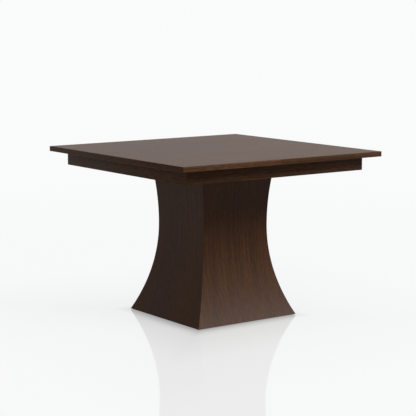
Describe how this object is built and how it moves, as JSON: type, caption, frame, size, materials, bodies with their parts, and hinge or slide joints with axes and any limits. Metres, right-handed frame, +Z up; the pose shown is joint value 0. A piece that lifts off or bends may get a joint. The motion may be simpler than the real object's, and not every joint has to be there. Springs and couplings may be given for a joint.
{
  "type": "pedestal dining table",
  "caption": "Square dining table on a hollow pedestal with concave flared sides; the apron-edged top parts across the middle and slides open for a loose leaf.",
  "frame": {"origin": "middle of the pedestal's foot on the floor, below the middle of the closed top", "axes": "+Z up; +X along the slides, towards the right half of the top; -Y towards the front"},
  "size_m": [1.067, 1.067, 0.748],
  "materials": {
    "stained_veneer": "dark walnut stain, satin lacquer over veneer",
    "stained_wood": "dark walnut stain, satin lacquer on solid wood",
    "plain_wood": "sanded, unstained",
    "zinc_steel": "zinc plated",
    "nylon": "moulded nylon"
  },
  "bodies": {
    "pedestal": {"pedestal_front_panel": "stained_veneer", "pedestal_right_panel": "stained_veneer", "pedestal_back_panel": "stained_veneer", "pedestal_left_panel": "stained_veneer", "pedestal_bottom_board": "plain_wood", "pedestal_waist_frame": "plain_wood", "pedestal_head_board": "plain_wood", "pedestal_lower_corner_posts": "plain_wood", "pedestal_upper_corner_posts": "plain_wood", "pedestal_glides": "nylon", "mounting_plate": "plain_wood", "mounting_plate_screws": "zinc_steel", "front_fixed_rail": "plain_wood", "back_fixed_rail": "plain_wood", "fixed_rail_screws": "zinc_steel", "rack_guide": "zinc_steel", "rack_guide_screws": "zinc_steel", "pinion_axle": "zinc_steel", "pinion_retaining_ring": "zinc_steel"},
    "left_half": {"left_top_panel": "stained_veneer", "left_front_lipping": "stained_wood", "left_front_apron": "stained_wood", "left_back_lipping": "stained_wood", "left_back_apron": "stained_wood", "left_end_lipping": "stained_wood", "left_end_apron": "stained_wood", "left_corner_blocks": "plain_wood", "left_apron_cleats": "plain_wood", "left_front_runner": "plain_wood", "left_back_runner": "plain_wood", "left_rack_block": "plain_wood", "left_rack": "nylon", "left_runner_screws": "zinc_steel", "left_rack_screws": "zinc_steel", "left_lock_screws": "zinc_steel", "table_pins": "plain_wood", "lock_plates": "zinc_steel", "lock_rivets": "zinc_steel"},
    "right_half": {"right_top_panel": "stained_veneer", "right_front_lipping": "stained_wood", "right_front_apron": "stained_wood", "right_back_lipping": "stained_wood", "right_back_apron": "stained_wood", "right_end_lipping": "stained_wood", "right_end_apron": "stained_wood", "right_corner_blocks": "plain_wood", "right_apron_cleats": "plain_wood", "right_front_runner": "plain_wood", "right_back_runner": "plain_wood", "right_rack_block": "plain_wood", "right_rack": "nylon", "right_runner_screws": "zinc_steel", "right_rack_screws": "zinc_steel", "right_lock_screws": "zinc_steel", "lock_keepers": "zinc_steel"},
    "pinion": {"pinion": "nylon"},
    "front_lock": {"front_lock_lever": "zinc_steel"},
    "back_lock": {"back_lock_lever": "zinc_steel"}
  },
  "joints": [
    {"name": "left_half_slide", "type": "slide", "parent": "pedestal", "child": "left_half", "axis": [-1, 0, 0], "range_m": [0, 0.2286]},
    {"name": "right_half_slide", "type": "slide", "parent": "pedestal", "child": "right_half", "axis": [1, 0, 0], "range_m": [0, 0.2286]},
    {"name": "pinion_spin", "type": "hinge", "parent": "pedestal", "child": "pinion", "pos_m": [0, 0, 0.69], "axis": [0, 0, 1], "range_deg": [0, 437]},
    {"name": "front_lock_swing", "type": "hinge", "parent": "left_half", "child": "front_lock", "pos_m": [-0.064, -0.3099, 0.7212], "axis": [0, 0, 1], "range_deg": [0, 85]},
    {"name": "back_lock_swing", "type": "hinge", "parent": "left_half", "child": "back_lock", "pos_m": [-0.064, 0.3099, 0.7212], "axis": [0, 0, 1], "range_deg": [0, 85]}
  ],
  "couplings": [
    {"joint": "right_half_slide", "follows": "left_half_slide", "ratio": 1},
    {"joint": "pinion_spin", "follows": "left_half_slide", "rad_per_m": 33.333}
  ]
}
